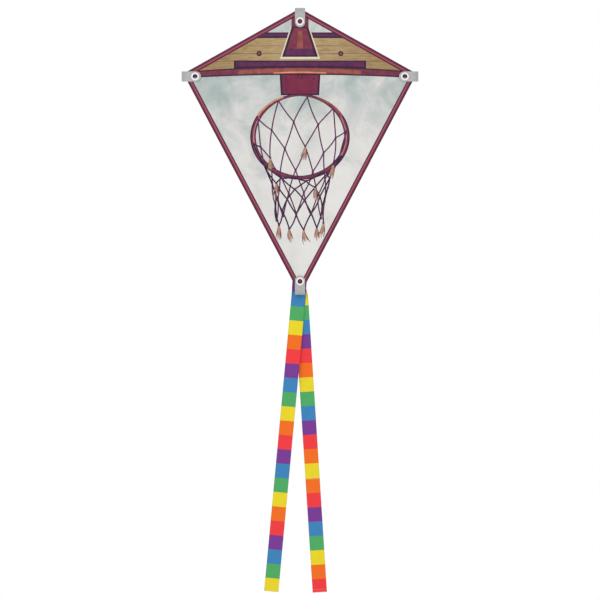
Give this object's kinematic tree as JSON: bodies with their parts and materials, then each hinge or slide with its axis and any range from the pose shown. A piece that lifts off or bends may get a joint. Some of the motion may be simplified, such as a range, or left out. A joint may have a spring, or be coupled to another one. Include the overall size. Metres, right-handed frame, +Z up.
{
  "type": "diamond kite",
  "caption": "Flat diamond kite: printed sail with bound edges, webbing corner tabs with eyelets, folding cross spar and a two-legged ribbon tail.",
  "frame": {"origin": "centre of the tow eye's hole, in front of the crossing of the spine and the cross spar", "axes": "+X to the right seen from the printed face, +Y backwards through the sail, +Z up the spine towards the nose"},
  "size_m": [0.58, 0.026, 1.4326],
  "materials": {
    "sail": "printed ripstop nylon",
    "binding": "satin tape",
    "webbing": "ribbed webbing",
    "sleeve": "plain nylon",
    "ribbon": "ribbed nylon ribbon",
    "eyelet": "glossy",
    "cap": "matt",
    "rod": "pultruded fibreglass",
    "fitting": "moulded",
    "clip": "moulded",
    "pin": "satin"
  },
  "bodies": {
    "root": {"spine_rod": "rod", "spine_cap_top": "cap", "spine_cap_bottom": "cap", "center_fitting": "fitting", "hinge_pin_left": "pin", "hinge_pin_right": "pin", "sail_center": "sail", "spine_sleeve_upper": "sleeve", "spine_sleeve_lower": "sleeve", "nose_hem": "binding", "tip_hem": "binding", "top_tab": "webbing", "bottom_tab": "webbing", "top_eyelet": "eyelet", "bottom_eyelet": "eyelet", "top_eyelet_washer": "eyelet", "bottom_eyelet_washer": "eyelet", "tail_loop": "webbing"},
    "left_wing": {"left_spar": "rod", "left_socket": "fitting", "left_spar_cap": "cap", "left_sail": "sail", "left_upper_hem": "binding", "left_lower_hem": "binding", "left_tab": "webbing", "left_eyelet": "eyelet", "left_eyelet_washer": "eyelet"},
    "right_wing": {"right_spar": "rod", "right_socket": "fitting", "right_spar_cap": "cap", "right_sail": "sail", "right_upper_hem": "binding", "right_lower_hem": "binding", "right_tab": "webbing", "right_eyelet": "eyelet", "right_eyelet_washer": "eyelet"},
    "tail_hitch": {"tail_clip": "clip", "tail_rivet": "eyelet"},
    "tail_left": {"tail_left_ribbon": "ribbon", "tail_left_end_hem": "ribbon"},
    "tail_right": {"tail_right_ribbon": "ribbon", "tail_right_end_hem": "ribbon", "tail_right_splice": "ribbon"}
  },
  "joints": [
    {"name": "left_wing_fold", "type": "hinge", "parent": "root", "child": "left_wing", "pos_m": [-0.02, 0.0106, 0], "axis": [0, 0, -1], "range_deg": [0, 88]},
    {"name": "right_wing_fold", "type": "hinge", "parent": "root", "child": "right_wing", "pos_m": [0.02, 0.0106, 0], "axis": [0, 0, 1], "range_deg": [0, 88]},
    {"name": "tail_swing", "type": "hinge", "parent": "root", "child": "tail_hitch", "pos_m": [0, 0.0172, -0.492], "axis": [1, 0, 0], "range_deg": [0, 80]},
    {"name": "tail_left_splay", "type": "hinge", "parent": "tail_hitch", "child": "tail_left", "pos_m": [0, 0.0172, -0.502], "axis": [0, 1, 0], "range_deg": [-20, 25]},
    {"name": "tail_right_splay", "type": "hinge", "parent": "tail_hitch", "child": "tail_right", "pos_m": [0, 0.0172, -0.502], "axis": [0, -1, 0], "range_deg": [-20, 25]}
  ]
}
